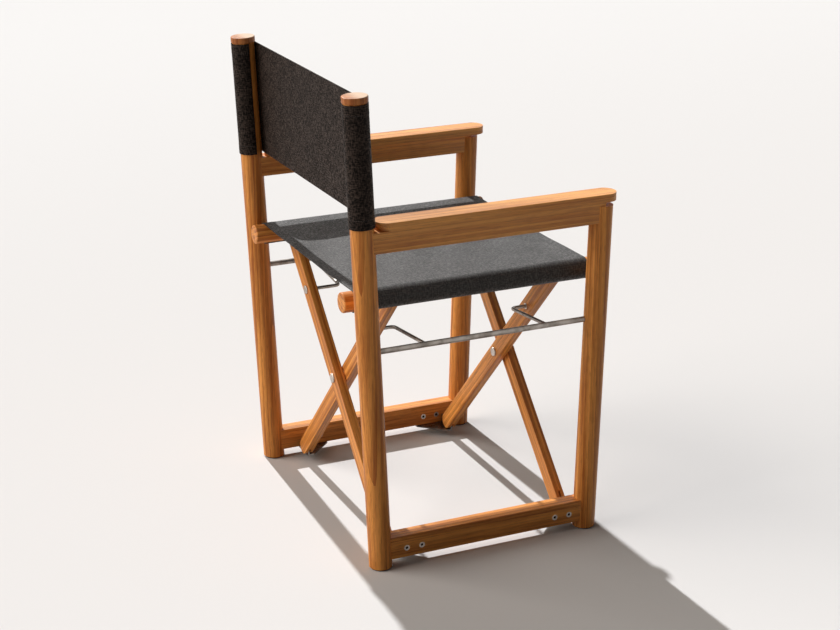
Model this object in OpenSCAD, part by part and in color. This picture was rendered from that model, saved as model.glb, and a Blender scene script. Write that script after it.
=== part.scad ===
// Folding directors chair: two round-post side frames joined by two pairs of crossed legs,
// with a stretched seat cloth, a back sling and a steel link in each side frame.
// Millimetres. +X is the sitter's left, +Y the back, +Z up. The floor is z = 0.

/* [Side frames] */
// Distance between the post axes of the two side frames
frame_w = 527; // [515:1:545]
// Distance between the two post axes of one side frame at the floor
frame_d = 396; // [380:1:420]
// Diameter of the round posts
post_d = 40; // [38:0.5:42]
// Length of a back post under its cap
back_len = 820; // [800:1:850]
// Backward lean of the back posts in degrees
back_lean = 2.5; // [1.5:0.1:3.5]
// Forward lean of the front posts in degrees
front_lean = 1.75; // [1:0.05:2.5]

/* [Rails and arms] */
// Height of the top of the arm boards
arm_h = 618; // [610:1:630]
// Width of an arm board
board_w = 44; // [40:1:46]
// Thickness of an arm board
board_t = 14; // [12:0.5:18]
// How far an arm board's centre line lies inside the post axes
board_inset = 6; // [5:0.5:9]
// How far an arm board reaches ahead of the front post's foot axis
board_reach = 47; // [40:1:55]
// Height of the rail under an arm board
arm_rail_h = 36; // [30:1:42]
// Thickness of the rail under an arm board
arm_rail_t = 32; // [26:1:34]
// Height of a bottom rail
low_rail_h = 40; // [36:1:44]
// Thickness of a bottom rail
low_rail_t = 30; // [28:1:32]
// Gap between the floor and a bottom rail
low_rail_z = 16; // [15:1:20]

/* [Crossed legs] */
// Distance between the axes of the two seat rails
seat_w = 423.4; // [415:0.2:425]
// Height of the seat rail axes
seat_h = 470; // [455:1:480]
// Height of the leg foot pivots
pivot_h = 32; // [32:0.5:36]
// Width of a leg
leg_w = 30; // [28:0.5:30]
// Thickness of a leg
leg_t = 17; // [15:0.5:18]
// Gap between two crossed legs, filled by a washer
leg_gap = 1.2; // [1:0.1:2]
// Distance from the middle of the side frames to the rear pair of legs
rear_pair = 158; // [150:1:162]
// Distance from the middle of the side frames to the front pair of legs
front_pair = 165; // [155:1:168]
// Turn of the legs from open to folded, in degrees
fold_turn = 38; // [30:1:38]

/* [Seat and back] */
// Diameter of the seat rails
seat_rail_d = 35; // [32:0.5:36]
// Rear end of the seat rails, behind the middle of the side frames
seat_rail_back = 242.5; // [236:0.5:246]
// Front end of the seat rails, ahead of the middle of the side frames
seat_rail_front = 223; // [219:1:232]
// Rear edge of the seat cloth, behind the middle of the side frames
seat_cloth_back = 223; // [200:1:226]
// Front edge of the seat cloth, ahead of the middle of the side frames
seat_cloth_front = 214; // [200:1:215]
// Thickness of the cloth
cloth_t = 1.4; // [1:0.1:1.4]
// Height of the back sling
sling_h = 205; // [180:1:206]

/* [Steel parts] */
// Distance from the chair's middle to a link bar
link_x = 260; // [258:0.5:262]
// Height of the link bars
link_z = 393; // [388:1:400]
// Diameter of a link bar
bar_d = 10; // [8:0.5:12]
// Diameter of a link arm
arm_d = 6.5; // [5:0.5:7]
// Rear link arm, behind the middle of the side frames
arm_back = 110; // [100:1:120]
// Front link arm, ahead of the middle of the side frames
arm_front = 118; // [105:1:125]
// Thickness of the bracket plates
plate_t = 3; // [2:0.5:3]

/* [Hidden] */
$fn = 64;

// Clearances: a running fit, and the least gap between neighbours that move apart
run_gap = 0.05;
free_gap = 0.3;

// How far a cutter reaches past the face that it opens
over = 1;

// Post caps
cap_d = 43.6;
cap_t = 10;
cap_edge = 1.6;
cap_spigot_d = 18;
cap_spigot_len = 22;

// The origin is under the middle of the chair's box, from arm tips to cap backs
post_r = post_d / 2;
cap_back = frame_d / 2 + (back_len + cap_t - cap_edge) * sin(back_lean) + cap_d / 2 * cos(back_lean);
y_mid = (cap_back - frame_d / 2 - board_reach) / 2;
post_x = frame_w / 2;
back_foot_y = frame_d / 2 - y_mid;
front_foot_y = -frame_d / 2 - y_mid;
function back_y(z) = back_foot_y + z * tan(back_lean);
function front_y(z) = front_foot_y - z * tan(front_lean);

// Feet
glide_d = 34;
glide_t = 3;
glide_pin_d = 8;
glide_pin_len = 18;

// Arm boards and rails
board_x = post_x - board_inset;
board_low = arm_h - board_t;
board_front_y = front_foot_y - board_reach;
board_back_gap = 4.6;
board_back_y = back_y(arm_h) - post_r - board_back_gap;
arris = 1.5;
rail_end_edge = 2.5;
tenon_t = 12;
tenon_edge = 6;
dowel_d = 10;
dowel_in_rail = 10;
dowel_in_board = 8;
arm_rail_z = board_low - arm_rail_h;
low_rail_out = 13;
low_rail_x = post_x + low_rail_out - low_rail_t / 2;

// Scissor: the legs cross at half their length, so the side frames stay level as they close
foot_x = seat_w / 2;
leg_rise = seat_h - pivot_h;
leg_len = sqrt(seat_w * seat_w + leg_rise * leg_rise);
leg_half = leg_len / 2;
leg_angle = atan2(leg_rise, seat_w);
cross_z = pivot_h + leg_rise / 2;
pair_step = (leg_t + leg_gap) / 2;
rear_outer_y = rear_pair - y_mid + pair_step;
rear_inner_y = rear_pair - y_mid - pair_step;
front_inner_y = -front_pair - y_mid + pair_step;
front_outer_y = -front_pair - y_mid - pair_step;

// The link pin sits where a rigid link has one length with the chair open and folded
folded_angle = leg_angle + fold_turn;
link_out = link_x - foot_x;
link_up = link_z - pivot_h;
cos_drop = link_out * (cos(leg_angle) - cos(folded_angle));
sin_rise = link_up * (sin(leg_angle) - sin(folded_angle));
double_drop = leg_half * (cos(2 * leg_angle) - cos(2 * folded_angle));
pin_above = leg_half * (cos_drop - sin_rise) / (cos_drop + sin_rise + double_drop);
pin_run = leg_half + pin_above;
pin_x = (leg_half - pin_above) * cos(leg_angle) - foot_x;
pin_z = pivot_h + pin_run * sin(leg_angle);
link_len = sqrt(pow(pin_x + link_x, 2) + pow(pin_z - link_z, 2));
link_angle = atan2(pin_z - link_z, pin_x + link_x);
arm_bend = 9;

// Seat rails and their cloth
rail_r = seat_rail_d / 2;
rail_back_y = seat_rail_back - y_mid;
rail_front_y = -seat_rail_front - y_mid;
seat_back_y = seat_cloth_back - y_mid;
seat_front_y = -seat_cloth_front - y_mid;
leg_tenon_d = 14;
leg_tenon_len = 9;
cope_margin = 25;
cord_d = 4.4;
cord_bore_d = 5;
cord_slot = 2.4;
seat_cord_angle = 250;
seat_cord_depth = 3.4;

// Back sling, drawn in the lean of the back posts
sling_top = back_len - 2;
sling_low = sling_top - sling_h;
sling_cord_angle = 188;
sling_cord_depth = 3.4;
arc_step = 6;

// Notches for the legs in the hems of the seat cloth, set from the axis of a seat rail
notch_out = 5;
notch_low = 5;
notch_margin = 1.5;

// Leg feet
ear_r = 11;
ear_step = 2;
foot_pin_d = 6;
foot_pin_len = 13;
slot_rise = 1.5;
flange_len = 56;
upstand_h = 28;
bolt_first = 12.8;
bolt_step = 28.5;
bolt_z = 33;
bolt_d = 6;
bolt_head_d = 10.5;
bolt_head_t = 3;
hex_d = 5.8;
hex_deep = 2;

// Pivot bolts and link bushes
pivot_d = 6;
pivot_head_d = 17;
pivot_head_t = 3;
pivot_head_edge = 1.2;
nut_d = 13;
nut_t = 5;
nut_edge = 1.5;
washer_d = 20;
bush_d = 8;
bush_cap_d = 16;
bush_cap_t = 2.5;
bush_cap_edge = 1;
ferrule_d = 11;
ferrule_t = 1.5;

teak = [0.73, 0.50, 0.30];
charcoal = [0.24, 0.22, 0.22];
steel = [0.62, 0.60, 0.58];
black = [0.10, 0.10, 0.10];

// Shared shapes

// A rectangle with round corners, centred
module round_rect(w, h, r) {
    square([w - 2 * r, h], center = true);
    square([w, h - 2 * r], center = true);
    for (x = [-1, 1], y = [-1, 1])
        translate([x * (w / 2 - r), y * (h / 2 - r)]) circle(r);
}

// A bar along Y with rounded long edges, from y0 to y1, centred on (x, z)
module bar_y(x, z, w, h, y0, y1, r) {
    translate([x, y1, z]) rotate([90, 0, 0]) linear_extrude(y1 - y0) round_rect(w, h, r);
}

// A rod along Y from y0 to y1
module rod_y(x, z, d, y0, y1) {
    translate([x, y1, z]) rotate([90, 0, 0]) cylinder(d = d, h = y1 - y0);
}

// A plate of thickness t standing across Y at y, drawn in X and Z
module plate_y(y, t) {
    translate([0, y + t / 2, 0]) rotate([90, 0, 0]) linear_extrude(t) children();
}

// A turned disc with a rounded top edge, standing on its base
module domed_disc(d, t, edge) {
    rotate_extrude() {
        square([d / 2 - edge, t]);
        square([d / 2, t - edge]);
        translate([d / 2 - edge, t - edge]) intersection() {
            circle(edge);
            square(edge);
        }
    }
}

// The frames in which the back and front posts stand upright
module on_back_post() {
    translate([post_x, back_foot_y, 0]) rotate([-back_lean, 0, 0]) children();
}

module on_front_post() {
    translate([post_x, front_foot_y, 0]) rotate([front_lean, 0, 0]) children();
}

// Both sides are built on the sitter's left, and the right one is mirrored
module on_side(right) {
    if (right) mirror([1, 0, 0]) children();
    else children();
}

// Side frame

module back_round() {
    on_back_post() translate([0, 0, -post_r]) cylinder(r = post_r, h = back_len + post_r);
}

module front_round() {
    on_front_post() translate([0, 0, -post_r]) cylinder(r = post_r, h = arm_h);
}

// The whole length of a rail's tenons, from post axis to post axis
module tenons(x, z, h) {
    translate([x - tenon_t / 2, front_y(z), z - h / 2 + tenon_edge])
        cube([tenon_t, back_y(z) - front_y(z), h - 2 * tenon_edge]);
}

module arm_tenons() {
    tenons(post_x, arm_rail_z + arm_rail_h / 2, arm_rail_h);
}

module low_tenons() {
    tenons(low_rail_x, low_rail_z + low_rail_h / 2, low_rail_h);
}

module glide_pin(foot_y) {
    translate([post_x, foot_y, 0]) cylinder(d = glide_pin_d, h = glide_pin_len);
}

// The bore and the narrow mouth that hold a cord, along +Z from z0 to z1
module cord_groove(r, depth, angle, z0, z1) {
    rotate([0, 0, angle]) translate([0, 0, z0]) {
        translate([r - depth, 0, 0]) cylinder(d = cord_bore_d, h = z1 - z0);
        translate([r - depth, -cord_slot / 2, 0]) cube([depth + over, cord_slot, z1 - z0]);
    }
}

module above(z) {
    translate([-frame_w, -frame_d, z]) cube([2 * frame_w, 2 * frame_d, 2 * back_len]);
}

module back_post() {
    color(teak) difference() {
        intersection() {
            back_round();
            above(glide_t);
        }
        arm_tenons();
        low_tenons();
        glide_pin(back_foot_y);
        rod_y(link_x, link_z, bar_d + 2 * run_gap, 0, back_y(link_z) + bar_d / 2);
        on_back_post() {
            translate([0, 0, back_len - cap_spigot_len]) cylinder(d = cap_spigot_d, h = back_len);
            cord_groove(post_r, sling_cord_depth, sling_cord_angle, sling_low, back_len + over);
        }
    }
}

module front_post() {
    color(teak) difference() {
        intersection() {
            front_round();
            above(glide_t);
        }
        above(board_low);
        arm_tenons();
        low_tenons();
        glide_pin(front_foot_y);
        rod_y(link_x, link_z, bar_d + 2 * run_gap, front_y(link_z) - bar_d / 2, 0);
        dowel(front_y(board_low));
    }
}

module post_cap() {
    color(teak) on_back_post() translate([0, 0, back_len]) {
        domed_disc(cap_d, cap_t, cap_edge);
        translate([0, 0, -cap_spigot_len]) cylinder(d = cap_spigot_d, h = cap_spigot_len + over);
    }
}

module foot_glides() {
    color(black) for (foot_y = [back_foot_y, front_foot_y]) {
        translate([post_x, foot_y, 0]) cylinder(d = glide_d, h = glide_t);
        glide_pin(foot_y);
    }
}

// An upright dowel through the seat of the arm board
module dowel(y) {
    translate([board_x, y, board_low - dowel_in_rail])
        cylinder(d = dowel_d, h = dowel_in_rail + dowel_in_board);
}

module arm_dowels() {
    color(teak) for (y = [front_y(board_low), 0]) dowel(y);
}

module arm_board() {
    radius = board_w / 2;
    color(teak) difference() {
        intersection() {
            translate([board_x, 0, board_low]) linear_extrude(board_t) {
                for (y = [board_front_y + radius, board_back_y - radius])
                    translate([0, y]) circle(radius);
                translate([-radius, board_front_y + radius])
                    square([board_w, board_back_y - board_front_y - board_w]);
            }
            bar_y(board_x, board_low, board_w, 2 * board_t,
                board_front_y - over, board_back_y + over, arris);
        }
        arm_dowels();
    }
}

module arm_rail() {
    z = arm_rail_z + arm_rail_h / 2;
    color(teak) difference() {
        union() {
            difference() {
                bar_y(post_x, z + arris, arm_rail_t, arm_rail_h + 2 * arris, front_y(z), back_y(z), arris);
                above(board_low);
                back_round();
                front_round();
            }
            arm_tenons();
        }
        arm_dowels();
    }
}

// Brackets of one side: the rear leg's plates run forwards, the front leg's run backwards
module bracket_plates(leg_y, way) {
    inner = foot_x - ear_r + ear_step;
    rail_face = low_rail_x - low_rail_t / 2;
    flange_z = low_rail_z - plate_t;
    // ear beside the rail, round about the foot pin
    plate_y(leg_y, plate_t) {
        translate([foot_x, pivot_h]) circle(ear_r);
        polygon([
            [inner, flange_z], [rail_face, flange_z],
            [rail_face, pivot_h], [foot_x, pivot_h + ear_r - ear_step], [inner, pivot_h]
        ]);
    }
    // flange under the rail, tapering away from the leg
    translate([0, 0, flange_z]) linear_extrude(plate_t) polygon([
        [inner, leg_y - way * plate_t / 2], [low_rail_x + plate_t / 2, leg_y - way * plate_t / 2],
        [low_rail_x + plate_t / 2, leg_y + way * flange_len],
        [rail_face, leg_y + way * flange_len], [inner, leg_y + way * ear_r]
    ]);
    // upstand in the kerf of the rail
    upstand(leg_y, way);
}

module upstand(leg_y, way) {
    start = leg_y - plate_t / 2;
    y0 = way > 0 ? start : leg_y - flange_len;
    translate([low_rail_x - plate_t / 2, y0, low_rail_z - plate_t])
        cube([plate_t, flange_len + plate_t / 2, upstand_h + plate_t]);
}

// Heads, shanks and socket holes of the two bolts of one bracket
module bolt_pair(leg_y, way) {
    for (step = [0, 1]) translate([low_rail_x, leg_y + way * (bolt_first + step * bolt_step), bolt_z])
        rotate([0, 90, 0]) {
            cylinder(d = bolt_d, h = low_rail_t, center = true);
            for (end = [-1, 1])
                translate([0, 0, end * (low_rail_t - bolt_head_t) / 2])
                    cylinder(d = bolt_head_d, h = bolt_head_t, center = true);
        }
}

module bolt_sockets(leg_y, way) {
    for (step = [0, 1]) translate([low_rail_x, leg_y + way * (bolt_first + step * bolt_step), bolt_z])
        rotate([0, 90, 0]) for (end = [-1, 1])
            translate([0, 0, end * low_rail_t / 2])
                cylinder(d = hex_d, h = 2 * hex_deep, center = true, $fn = 6);
}

module leg_brackets(rear_y, fore_y) {
    color(steel) difference() {
        union() {
            bracket_plates(rear_y, -1);
            bracket_plates(fore_y, 1);
        }
        bolt_pair(rear_y, -1);
        bolt_pair(fore_y, 1);
        for (y = [rear_y, fore_y])
            rod_y(foot_x, pivot_h, foot_pin_d + 2 * run_gap, y - leg_t, y + leg_t);
    }
}

module bracket_bolts(rear_y, fore_y) {
    color(steel) difference() {
        union() {
            bolt_pair(rear_y, -1);
            bolt_pair(fore_y, 1);
        }
        bolt_sockets(rear_y, -1);
        bolt_sockets(fore_y, 1);
    }
}

module bottom_rail(rear_y, fore_y) {
    z = low_rail_z + low_rail_h / 2;
    color(teak) difference() {
        union() {
            difference() {
                bar_y(low_rail_x, z, low_rail_t, low_rail_h, front_y(z), back_y(z), arris);
                back_round();
                front_round();
            }
            low_tenons();
        }
        upstand(rear_y, -1);
        upstand(fore_y, 1);
        bolt_pair(rear_y, -1);
        bolt_pair(fore_y, 1);
    }
}

// Links

module link_bar() {
    color(steel) rod_y(link_x, link_z, bar_d,
        front_y(link_z) - bar_d / 2 + free_gap, back_y(link_z) + bar_d / 2 - free_gap);
}

// One arm, from the bar to the leg, then bent along Y to end just short of the bush
module link_arm(y, tip_y) {
    way = tip_y > y ? 1 : -1;
    tip = abs(tip_y - y);
    translate([link_x, y, link_z]) rotate([0, link_angle, 0]) mirror([1, 0, 0])
        mirror([0, way > 0 ? 0 : 1, 0]) {
            rotate([0, 90, 0]) cylinder(d = arm_d, h = link_len - arm_bend);
            translate([link_len - arm_bend, arm_bend, 0]) rotate([0, 0, -90])
                rotate_extrude(angle = 90) translate([arm_bend, 0]) circle(d = arm_d);
            translate([link_len, tip, 0]) rotate([90, 0, 0]) cylinder(d = arm_d, h = tip - arm_bend);
        }
}

module link_arms(rear_y, fore_y) {
    short = leg_t / 2 + ferrule_t + free_gap;
    color(steel) difference() {
        union() {
            link_arm(arm_back - y_mid, rear_y - short);
            link_arm(-arm_front - y_mid, fore_y + short);
        }
        rod_y(link_x, link_z, bar_d, -frame_d, frame_d);
    }
}

// Seat rails

module leg_tenon_run() {
    translate([foot_x, 0, pivot_h]) rotate([0, leg_angle - 90, 0])
        translate([0, 0, leg_len - cope_margin])
            cylinder(d = leg_tenon_d, h = cope_margin + leg_tenon_len);
}

// The two tenons that enter one seat rail, drawn for a rail on the sitter's left
module rail_tenons(rear_y, fore_y) {
    for (y = [rear_y, fore_y]) translate([0, y, 0]) mirror([1, 0, 0]) leg_tenon_run();
}

module seat_round(r, y0, y1) {
    rod_y(foot_x, seat_h, 2 * r, y0, y1);
}

module seat_rail(rear_y, fore_y) {
    length = rail_back_y - rail_front_y;
    color(teak) difference() {
        translate([foot_x, rail_front_y + length / 2, seat_h]) rotate([90, 0, 0])
            for (end = [0, 1]) mirror([0, 0, end]) domed_disc(seat_rail_d, length / 2, rail_end_edge);
        translate([foot_x, seat_back_y, seat_h]) rotate([90, 0, 0])
            cord_groove(rail_r, seat_cord_depth, seat_cord_angle, 0, seat_back_y - seat_front_y);
        rail_tenons(rear_y, fore_y);
    }
}

// The cord in a seat rail, in three lengths between and beyond the legs
module seat_cord(rear_y, fore_y) {
    color(black) difference() {
        translate([foot_x, seat_back_y, seat_h]) rotate([90, 0, 0])
            rotate([0, 0, seat_cord_angle]) translate([rail_r - seat_cord_depth, 0, 0])
                cylinder(d = cord_d, h = seat_back_y - seat_front_y);
        for (y = [rear_y, fore_y]) translate([0, y - leg_t / 2, pivot_h])
            cube([frame_w, leg_t, seat_h]);
    }
}

module sling_cord() {
    color(black) on_back_post() rotate([0, 0, sling_cord_angle])
        translate([post_r - sling_cord_depth, 0, sling_low]) cylinder(d = cord_d, h = sling_h);
}

// Legs, drawn from the right foot pivot up to the left seat rail

module at_right_foot(y) {
    translate([-foot_x, y, pivot_h]) rotate([0, 90 - leg_angle, 0]) children();
}

module leg(y, cross_gap) {
    color(teak) difference() {
        union() {
            difference() {
                intersection() {
                    plate_y(y, leg_t) translate([-foot_x, pivot_h]) rotate(leg_angle) {
                        circle(leg_w / 2);
                        translate([0, -leg_w / 2]) square([leg_len, leg_w]);
                    }
                    at_right_foot(y) translate([0, 0, -leg_w])
                        linear_extrude(leg_len + 2 * leg_w) round_rect(leg_w, leg_t, arris);
                }
                seat_round(rail_r, y - leg_t, y + leg_t);
            }
            translate([0, y, 0]) mirror([1, 0, 0]) leg_tenon_run();
        }
        at_right_foot(y) translate([-leg_w, -plate_t / 2 - free_gap, -leg_w])
            cube([2 * leg_w, plate_t + 2 * free_gap, leg_w + ear_r + slot_rise]);
        rod_y(-foot_x, pivot_h, foot_pin_d, y - foot_pin_len / 2, y + foot_pin_len / 2);
        rod_y(0, cross_z, pivot_d + 2 * cross_gap, y - leg_t, y + leg_t);
        rod_y(-foot_x + pin_run * cos(leg_angle), pin_z, bush_d, y - leg_t, y + leg_t);
    }
}

module foot_pins(rear_y, fore_y) {
    color(steel) for (y = [rear_y, fore_y])
        rod_y(-foot_x, pivot_h, foot_pin_d, y - foot_pin_len / 2, y + foot_pin_len / 2);
}

// A bush through a leg, with its ferrule towards the link and its cap on the other side
module link_bush(y, way) {
    translate([-foot_x + pin_run * cos(leg_angle), y, pin_z]) rotate([90 * way, 0, 0]) {
        cylinder(d = bush_d, h = leg_t, center = true);
        translate([0, 0, leg_t / 2]) difference() {
            cylinder(d = ferrule_d, h = ferrule_t);
            cylinder(d = arm_d, h = ferrule_t + over);
        }
        mirror([0, 0, 1]) translate([0, 0, leg_t / 2]) domed_disc(bush_cap_d, bush_cap_t, bush_cap_edge);
    }
}

module link_bushes(rear_y, fore_y) {
    color(steel) {
        link_bush(rear_y, 1);
        link_bush(fore_y, -1);
    }
}

// Pivot bolts through both crossed legs, headed at the back

module pivot_at(y) {
    translate([0, y, cross_z]) rotate([90, 0, 0]) children();
}

module pivot_bolt(back_face, front_face) {
    pivot_at(back_face) {
        cylinder(d = pivot_d, h = back_face - front_face + nut_t);
        mirror([0, 0, 1]) domed_disc(pivot_head_d, pivot_head_t, pivot_head_edge);
    }
}

module pivot_bolts() {
    color(steel) {
        pivot_bolt(rear_outer_y + leg_t / 2, rear_inner_y - leg_t / 2 - free_gap);
        pivot_bolt(front_inner_y + leg_t / 2 + free_gap, front_outer_y - leg_t / 2);
    }
}

module pivot_nut(face) {
    pivot_at(face) difference() {
        domed_disc(nut_d, nut_t, nut_edge);
        cylinder(d = pivot_d, h = nut_t + over);
    }
}

module pivot_nuts() {
    color(steel) {
        pivot_nut(rear_inner_y - leg_t / 2 - free_gap);
        pivot_nut(front_outer_y - leg_t / 2);
    }
}

module pivot_washer(y, way) {
    thick = leg_gap - free_gap;
    translate([0, y, cross_z]) rotate([90 * way, 0, 0]) difference() {
        cylinder(d = washer_d, h = thick);
        cylinder(d = pivot_d, h = thick);
    }
}

module pivot_washers() {
    color(steel) {
        pivot_washer(rear_outer_y - leg_t / 2, 1);
        pivot_washer(front_outer_y + leg_t / 2, -1);
    }
}

// Cloth

function on_circle(r, a) = [r * cos(a), r * sin(a)];
function arc(r, a0, a1) = let (steps = ceil(abs(a1 - a0) / arc_step))
    [for (i = [0:steps]) on_circle(r, a0 + (a1 - a0) * i / steps)];

// Outline of cloth of inner radius r_in, from the angle a0 round to a hem about a1 that turns in to r_hem
function wrap(r_in, r_hem, a0, a1) =
    let (half = sign(a1 - a0) * cloth_t / r_in * 90 / PI)
    concat(
        arc(r_in + cloth_t, a0, a1 + half),
        [on_circle(r_hem, a1 + half), on_circle(r_hem, a1 - half)],
        arc(r_in, a1 - half, a0)
    );

// Cloth stretched between two like wraps, at x and at -x
module stretched(x, y, outline) {
    count = len(outline);
    polygon(concat(
        [for (p = outline) [x + p[0], y + p[1]]],
        [for (i = [1:count]) [-x - outline[count - i][0], y + outline[count - i][1]]]
    ));
}

module seat_section() {
    hem_r = rail_r - seat_cord_depth + cord_d / 2 + free_gap;
    stretched(foot_x, seat_h, wrap(rail_r + free_gap, hem_r, 90, seat_cord_angle - 360));
}

module seat_fabric() {
    outer = rail_r + cloth_t + over;
    color(charcoal) difference() {
        translate([0, seat_back_y, 0]) rotate([90, 0, 0])
            linear_extrude(seat_back_y - seat_front_y) seat_section();
        for (cut = [[1, rear_outer_y], [1, front_outer_y], [-1, rear_inner_y], [-1, front_inner_y]])
            translate([cut[0] * (foot_x + notch_out - outer), cut[1], seat_h - outer])
                cube([2 * outer, leg_t + 2 * notch_margin, 2 * (outer - notch_low)], center = true);
    }
}

module sling_section() {
    hem_r = post_r - sling_cord_depth + cord_d / 2 + free_gap;
    stretched(post_x, 0, wrap(post_r + free_gap, hem_r, -90, sling_cord_angle));
}

module back_sling() {
    color(charcoal) translate([0, back_foot_y, 0]) rotate([-back_lean, 0, 0])
        translate([0, 0, sling_low]) linear_extrude(sling_h) sling_section();
}

// Pieces of the sitter's right side, whose feet carry the outer legs

module right_back_post() { on_side(true) back_post(); }
module right_front_post() { on_side(true) front_post(); }
module right_post_cap() { on_side(true) post_cap(); }
module right_foot_glides() { on_side(true) foot_glides(); }
module right_arm_board() { on_side(true) arm_board(); }
module right_arm_rail() { on_side(true) arm_rail(); }
module right_arm_dowels() { on_side(true) arm_dowels(); }
module right_bottom_rail() { on_side(true) bottom_rail(rear_outer_y, front_outer_y); }
module right_leg_brackets() { on_side(true) leg_brackets(rear_outer_y, front_outer_y); }
module right_bracket_bolts() { on_side(true) bracket_bolts(rear_outer_y, front_outer_y); }
module right_link_bar() { on_side(true) link_bar(); }
module right_link_arms() { on_side(true) link_arms(rear_inner_y, front_inner_y); }
module right_seat_rail() { on_side(true) seat_rail(rear_inner_y, front_inner_y); }
module right_seat_cord() { on_side(true) seat_cord(rear_inner_y, front_inner_y); }
module right_sling_cord() { on_side(true) sling_cord(); }

// Pieces of the sitter's left side, whose feet carry the inner legs

module left_back_post() { on_side(false) back_post(); }
module left_front_post() { on_side(false) front_post(); }
module left_post_cap() { on_side(false) post_cap(); }
module left_foot_glides() { on_side(false) foot_glides(); }
module left_arm_board() { on_side(false) arm_board(); }
module left_arm_rail() { on_side(false) arm_rail(); }
module left_arm_dowels() { on_side(false) arm_dowels(); }
module left_bottom_rail() { on_side(false) bottom_rail(rear_inner_y, front_inner_y); }
module left_leg_brackets() { on_side(false) leg_brackets(rear_inner_y, front_inner_y); }
module left_bracket_bolts() { on_side(false) bracket_bolts(rear_inner_y, front_inner_y); }
module left_link_bar() { on_side(false) link_bar(); }
module left_link_arms() { on_side(false) link_arms(rear_outer_y, front_outer_y); }
module left_seat_rail() { on_side(false) seat_rail(rear_outer_y, front_outer_y); }
module left_seat_cord() { on_side(false) seat_cord(rear_outer_y, front_outer_y); }
module left_sling_cord() { on_side(false) sling_cord(); }

// Crossed legs and their steel

module rear_outer_leg() { leg(rear_outer_y, 0); }
module front_outer_leg() { leg(front_outer_y, 0); }
module rear_inner_leg() { mirror([1, 0, 0]) leg(rear_inner_y, run_gap); }
module front_inner_leg() { mirror([1, 0, 0]) leg(front_inner_y, run_gap); }
module outer_foot_pins() { foot_pins(rear_outer_y, front_outer_y); }
module inner_foot_pins() { mirror([1, 0, 0]) foot_pins(rear_inner_y, front_inner_y); }
module outer_link_bushes() { link_bushes(rear_outer_y, front_outer_y); }
module inner_link_bushes() { mirror([1, 0, 0]) link_bushes(rear_inner_y, front_inner_y); }

right_back_post();
right_front_post();
right_post_cap();
right_foot_glides();
right_arm_board();
right_arm_rail();
right_arm_dowels();
right_bottom_rail();
right_leg_brackets();
right_bracket_bolts();
right_link_bar();
right_link_arms();
right_seat_rail();
right_seat_cord();
right_sling_cord();
left_back_post();
left_front_post();
left_post_cap();
left_foot_glides();
left_arm_board();
left_arm_rail();
left_arm_dowels();
left_bottom_rail();
left_leg_brackets();
left_bracket_bolts();
left_link_bar();
left_link_arms();
left_seat_rail();
left_seat_cord();
left_sling_cord();
rear_outer_leg();
front_outer_leg();
rear_inner_leg();
front_inner_leg();
outer_foot_pins();
inner_foot_pins();
outer_link_bushes();
inner_link_bushes();
pivot_bolts();
pivot_nuts();
pivot_washers();
seat_fabric();
back_sling();
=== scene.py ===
"""Folding directors chair: its finishes and its cloth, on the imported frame."""

from __future__ import annotations

import logging
import math
from collections.abc import Iterable, Iterator
from dataclasses import dataclass, field
from enum import Enum
from typing import ClassVar

import bmesh
import bpy
from mathutils import Matrix, Vector

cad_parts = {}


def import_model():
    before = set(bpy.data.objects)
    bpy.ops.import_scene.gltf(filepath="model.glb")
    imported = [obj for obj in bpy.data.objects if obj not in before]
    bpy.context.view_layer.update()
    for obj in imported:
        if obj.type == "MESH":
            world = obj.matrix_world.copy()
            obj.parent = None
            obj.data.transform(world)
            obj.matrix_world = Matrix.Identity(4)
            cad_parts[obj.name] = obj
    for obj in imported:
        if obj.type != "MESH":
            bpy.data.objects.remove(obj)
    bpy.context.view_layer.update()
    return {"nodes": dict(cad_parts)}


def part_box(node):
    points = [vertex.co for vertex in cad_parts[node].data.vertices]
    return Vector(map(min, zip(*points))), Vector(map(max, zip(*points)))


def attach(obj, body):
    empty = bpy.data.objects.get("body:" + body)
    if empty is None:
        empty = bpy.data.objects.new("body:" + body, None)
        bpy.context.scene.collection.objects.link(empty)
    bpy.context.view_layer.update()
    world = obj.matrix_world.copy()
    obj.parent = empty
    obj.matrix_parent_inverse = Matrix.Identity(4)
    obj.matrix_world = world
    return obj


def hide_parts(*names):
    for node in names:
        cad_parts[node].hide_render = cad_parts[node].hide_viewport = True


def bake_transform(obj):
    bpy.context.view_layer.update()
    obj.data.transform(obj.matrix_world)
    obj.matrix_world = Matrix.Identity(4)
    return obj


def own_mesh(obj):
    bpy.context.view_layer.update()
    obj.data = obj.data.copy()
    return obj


LOG = logging.getLogger("directors_chair")

Span = tuple[float, float]
Triple = tuple[float, float, float]
Colour = Triple
Inputs = dict[str | int, object]

MM = 0.001
SIDES = ("right", "left")
FLAT_MAP = "flat_cloth"
WHOLE: Span = (0.0, 1.0)
LEG_LEAN = 44.03
ACROSS = Vector((1.0, 0.0, 0.0))
ALONG = Vector((0.0, 1.0, 0.0))
UP = Vector((0.0, 0.0, 1.0))


def axes(across: Vector, along: Vector, out: Vector) -> Matrix:
    """Returns the turn that brings X, Y and Z to three directions."""
    return Matrix((across, along, out)).transposed().to_4x4()


def placed(shape: bmesh.types.BMesh, name: str) -> bpy.types.Object:
    """Makes a bmesh an object of the scene.

    Args:
        shape: The bmesh, which is freed.
        name: The object's name.

    Returns:
        The object.
    """
    mesh = bpy.data.meshes.new(name)
    shape.to_mesh(mesh)
    shape.free()
    made = bpy.data.objects.new(name, mesh)
    bpy.context.scene.collection.objects.link(made)
    return made


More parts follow.
